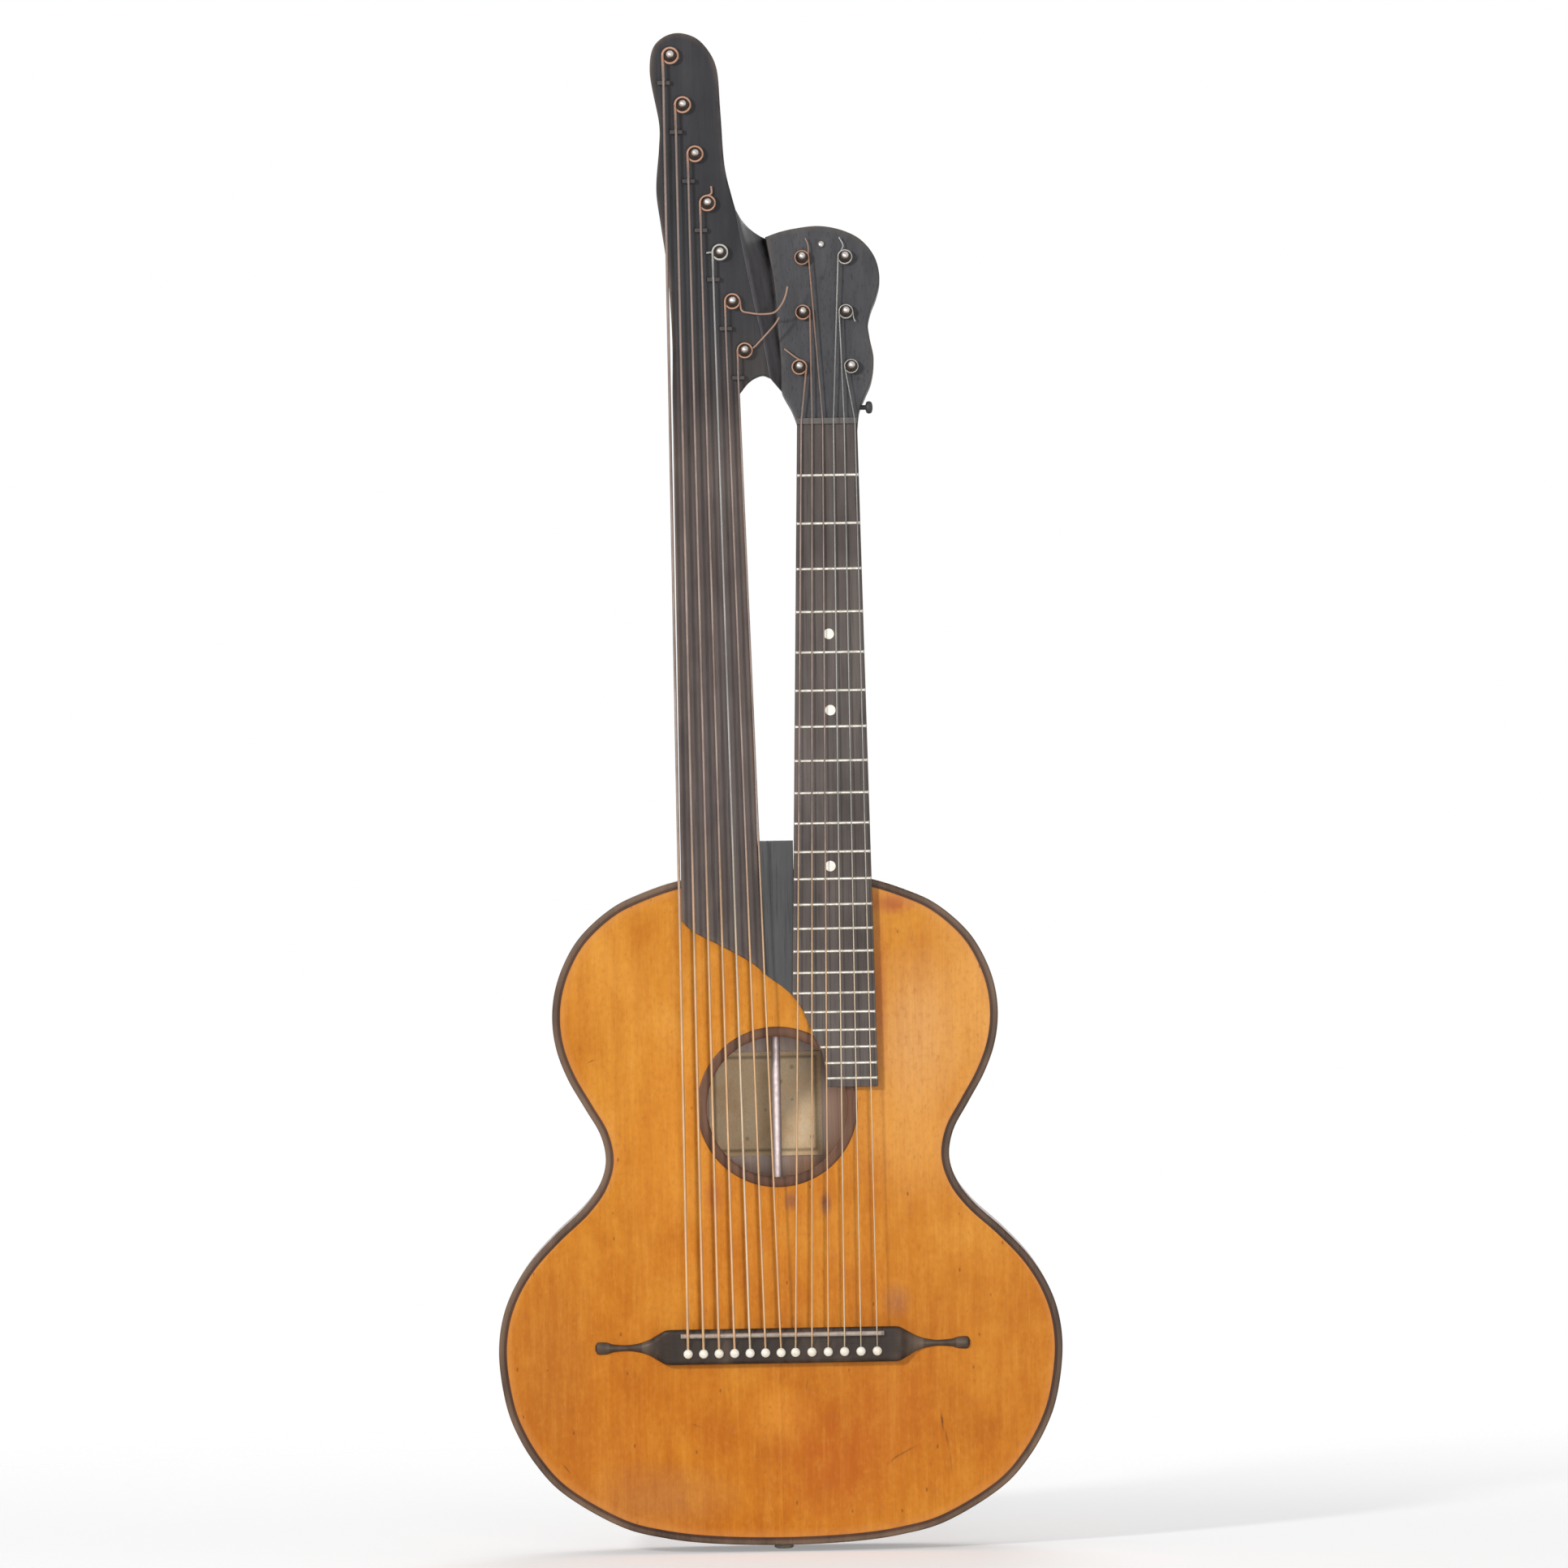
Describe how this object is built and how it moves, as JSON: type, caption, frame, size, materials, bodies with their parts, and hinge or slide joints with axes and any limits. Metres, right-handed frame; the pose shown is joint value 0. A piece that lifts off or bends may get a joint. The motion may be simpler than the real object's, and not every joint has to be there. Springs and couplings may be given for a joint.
{
  "type": "harp guitar",
  "caption": "Waisted guitar body with a fretted neck and, beside it, a fretless arm of long bass strings; a web joins the two heads and each string winds on a turning post.",
  "frame": {"origin": "middle of the end pin's flat end face, at half the depth of the ribs", "axes": "+Z from the end pin towards the heads, -Y out of the soundboard towards the strings, +X towards the highest string"},
  "size_m": [0.397, 0.1076, 1.0707],
  "materials": {
    "spruce": "aged amber varnish, satin",
    "back_wood": "brown varnish, satin",
    "inner_wood": "bare",
    "dark_binding": "dark brown varnish",
    "black_wood": "brown-black stain, satin",
    "grey_wood": "charcoal stain, satin",
    "ebony": "oiled, satin",
    "bone": "polished bone",
    "grey_bone": "worn grey bone",
    "label_paper": "aged paper, bare",
    "steel": "polished",
    "copper_wire": "wound copper alloy, dulled",
    "silver_wire": "wound silver-plated wire"
  },
  "bodies": {
    "guitar": {"soundboard": "spruce", "back": "back_wood", "rib_bass_side": "back_wood", "rib_treble_side": "back_wood", "top_binding": "dark_binding", "back_binding": "dark_binding", "soundhole_ring": "dark_binding", "neck_block": "inner_wood", "tail_block": "inner_wood", "label": "label_paper", "strut_rod": "steel", "bridge": "ebony", "saddle": "grey_bone", "end_pin": "bone", "neck": "grey_wood", "fingerboard": "ebony", "nut": "ebony", "bass_arm": "black_wood", "shoulder_plate": "grey_wood", "strap_knob": "ebony", "head_pin": "steel", "bridge_pin_1": "bone", "bridge_pin_2": "bone", "bridge_pin_3": "bone", "bridge_pin_4": "bone", "bridge_pin_5": "bone", "bridge_pin_6": "bone", "bridge_pin_7": "bone", "bridge_pin_8": "bone", "bridge_pin_9": "bone", "bridge_pin_10": "bone", "bridge_pin_11": "bone", "bridge_pin_12": "bone", "bridge_pin_13": "bone", "bass_string_1": "copper_wire", "bass_string_2": "copper_wire", "bass_string_3": "copper_wire", "bass_string_4": "copper_wire", "bass_string_5": "silver_wire", "bass_string_6": "copper_wire", "bass_string_7": "copper_wire", "main_string_1": "copper_wire", "main_string_2": "copper_wire", "main_string_3": "copper_wire", "main_string_4": "silver_wire", "main_string_5": "silver_wire", "main_string_6": "silver_wire"},
    "bass_tuner_1": {"bass_tuner_1": "steel"},
    "bass_tuner_2": {"bass_tuner_2": "steel"},
    "bass_tuner_3": {"bass_tuner_3": "steel"},
    "bass_tuner_4": {"bass_tuner_4": "steel"},
    "bass_tuner_5": {"bass_tuner_5": "steel"},
    "bass_tuner_6": {"bass_tuner_6": "steel"},
    "bass_tuner_7": {"bass_tuner_7": "steel"},
    "main_tuner_1": {"main_tuner_1": "steel"},
    "main_tuner_2": {"main_tuner_2": "steel"},
    "main_tuner_3": {"main_tuner_3": "steel"},
    "main_tuner_4": {"main_tuner_4": "steel"},
    "main_tuner_5": {"main_tuner_5": "steel"},
    "main_tuner_6": {"main_tuner_6": "steel"}
  },
  "joints": [
    {"name": "bass_tuner_1_turn", "type": "hinge", "parent": "guitar", "child": "bass_tuner_1", "pos_m": [-0.062, -0.0475, 1.05392], "axis": [0, -0.9903, 0.1392], "continuous": true},
    {"name": "bass_tuner_2_turn", "type": "hinge", "parent": "guitar", "child": "bass_tuner_2", "pos_m": [-0.05385, -0.0475, 1.0192], "axis": [0, -0.9903, 0.1392], "continuous": true},
    {"name": "bass_tuner_3_turn", "type": "hinge", "parent": "guitar", "child": "bass_tuner_3", "pos_m": [-0.0457, -0.0475, 0.98448], "axis": [0, -0.9903, 0.1392], "continuous": true},
    {"name": "bass_tuner_4_turn", "type": "hinge", "parent": "guitar", "child": "bass_tuner_4", "pos_m": [-0.03755, -0.0475, 0.94976], "axis": [0, -0.9903, 0.1392], "continuous": true},
    {"name": "bass_tuner_5_turn", "type": "hinge", "parent": "guitar", "child": "bass_tuner_5", "pos_m": [-0.0294, -0.0475, 0.91504], "axis": [0, -0.9903, 0.1392], "continuous": true},
    {"name": "bass_tuner_6_turn", "type": "hinge", "parent": "guitar", "child": "bass_tuner_6", "pos_m": [-0.02125, -0.0475, 0.88032], "axis": [0, -0.9903, 0.1392], "continuous": true},
    {"name": "bass_tuner_7_turn", "type": "hinge", "parent": "guitar", "child": "bass_tuner_7", "pos_m": [-0.0131, -0.0475, 0.8456], "axis": [0, -0.9903, 0.1392], "continuous": true},
    {"name": "main_tuner_1_turn", "type": "hinge", "parent": "guitar", "child": "main_tuner_1", "pos_m": [0.0251, -0.03858, 0.83322], "axis": [0, -0.9781, 0.2079], "continuous": true},
    {"name": "main_tuner_2_turn", "type": "hinge", "parent": "guitar", "child": "main_tuner_2", "pos_m": [0.0282, -0.0303, 0.87215], "axis": [0, -0.9781, 0.2079], "continuous": true},
    {"name": "main_tuner_3_turn", "type": "hinge", "parent": "guitar", "child": "main_tuner_3", "pos_m": [0.0282, -0.02203, 0.91108], "axis": [0, -0.9781, 0.2079], "continuous": true},
    {"name": "main_tuner_4_turn", "type": "hinge", "parent": "guitar", "child": "main_tuner_4", "pos_m": [0.0586, -0.02203, 0.91108], "axis": [0, -0.9781, 0.2079], "continuous": true},
    {"name": "main_tuner_5_turn", "type": "hinge", "parent": "guitar", "child": "main_tuner_5", "pos_m": [0.0586, -0.0303, 0.87215], "axis": [0, -0.9781, 0.2079], "continuous": true},
    {"name": "main_tuner_6_turn", "type": "hinge", "parent": "guitar", "child": "main_tuner_6", "pos_m": [0.0617, -0.03858, 0.83322], "axis": [0, -0.9781, 0.2079], "continuous": true}
  ]
}
